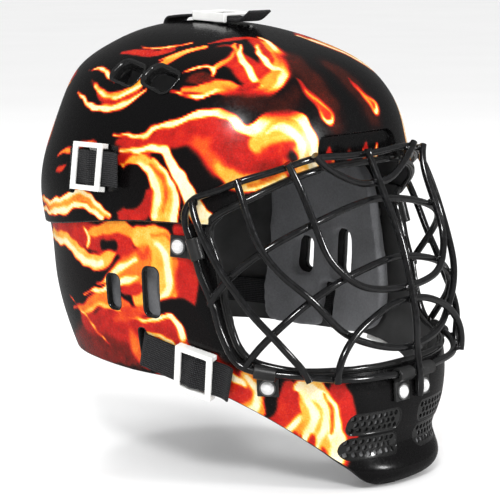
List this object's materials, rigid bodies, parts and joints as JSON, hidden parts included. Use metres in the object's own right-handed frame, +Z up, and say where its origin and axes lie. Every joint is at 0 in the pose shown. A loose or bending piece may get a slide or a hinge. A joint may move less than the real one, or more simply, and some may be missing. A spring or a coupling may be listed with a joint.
{
  "type": "goalie mask",
  "caption": "Moulded goalie mask with a flame-printed two-part shell, a welded wire cage, foam liners, webbing straps and a swinging back plate.",
  "frame": {"origin": "centre of the head space, the middle of the wearer's head", "axes": "+Z up as worn, the face looks along -Y, the wearer's right is -X"},
  "size_m": [0.219, 0.2702, 0.2744],
  "materials": {
    "shell_gloss": "glossy black moulded plastic with a printed flame decal",
    "plate_plastic": "satin black moulded plastic",
    "clip_plastic": "satin black moulded plastic",
    "cage_coating": "glossy black coated steel wire",
    "screw_steel": "bright zinc-plated steel",
    "foam": "grey closed-cell foam with a fine skin",
    "webbing": "black woven elastic webbing",
    "slider_plastic": "white moulded plastic"
  },
  "bodies": {
    "shell": {"crown_shell": "shell_gloss", "jaw_shell": "shell_gloss", "chin_grille_upper_right": "shell_gloss", "chin_grille_upper_left": "shell_gloss", "chin_grille_lower_right": "shell_gloss", "chin_grille_lower_left": "shell_gloss", "cage_rim_wire": "cage_coating", "cage_centre_wire": "cage_coating", "cage_side_wire_right": "cage_coating", "cage_side_wire_left": "cage_coating", "cage_brow_u_wire": "cage_coating", "cage_nose_u_wire": "cage_coating", "cage_chin_u_wire": "cage_coating", "cage_eye_arch_wire": "cage_coating", "cage_cheek_arch_wire": "cage_coating", "cage_mouth_arch_wire": "cage_coating", "temple_clip_right": "clip_plastic", "temple_clip_left": "clip_plastic", "jaw_clip_right": "clip_plastic", "jaw_clip_left": "clip_plastic", "chin_clip_right": "clip_plastic", "chin_clip_left": "clip_plastic", "cage_screws": "screw_steel", "cage_washers": "screw_steel", "cage_nuts": "screw_steel", "cheek_pad_right": "foam", "cheek_pad_left": "foam", "forehead_pad": "foam", "crown_pad": "foam", "chin_pad": "foam", "top_strap": "webbing", "upper_strap_right": "webbing", "upper_strap_left": "webbing", "lower_strap_right": "webbing", "lower_strap_left": "webbing"},
    "back_plate": {"back_plate": "plate_plastic", "back_pad": "foam", "strap_tabs": "webbing", "strap_rivets": "screw_steel"},
    "top_slider": {"top_slider": "slider_plastic"},
    "upper_slider_right": {"upper_slider_right": "slider_plastic"},
    "upper_slider_left": {"upper_slider_left": "slider_plastic"},
    "lower_slider_right": {"lower_slider_right": "slider_plastic"},
    "lower_slider_left": {"lower_slider_left": "slider_plastic"}
  },
  "joints": [
    {"name": "back_plate_hinge", "type": "hinge", "parent": "shell", "child": "back_plate", "pos_m": [0, 0.12506, 0.076], "axis": [1, 0, 0], "range_deg": [0, 25], "stiffness_Nm_per_rad": 0.4},
    {"name": "top_slider_slide", "type": "slide", "parent": "shell", "child": "top_slider", "axis": [0, -0.9991, -0.0421], "range_m": [-0.004, 0.004]},
    {"name": "upper_slider_right_slide", "type": "slide", "parent": "shell", "child": "upper_slider_right", "axis": [-0.0849, -0.9963, 0.0115], "range_m": [-0.004, 0.004]},
    {"name": "upper_slider_left_slide", "type": "slide", "parent": "shell", "child": "upper_slider_left", "axis": [0.0849, -0.9963, 0.0115], "range_m": [-0.004, 0.004]},
    {"name": "lower_slider_right_slide", "type": "slide", "parent": "shell", "child": "lower_slider_right", "axis": [0.1341, -0.9735, -0.1854], "range_m": [-0.004, 0.004]},
    {"name": "lower_slider_left_slide", "type": "slide", "parent": "shell", "child": "lower_slider_left", "axis": [-0.1341, -0.9735, -0.1854], "range_m": [-0.004, 0.004]}
  ]
}
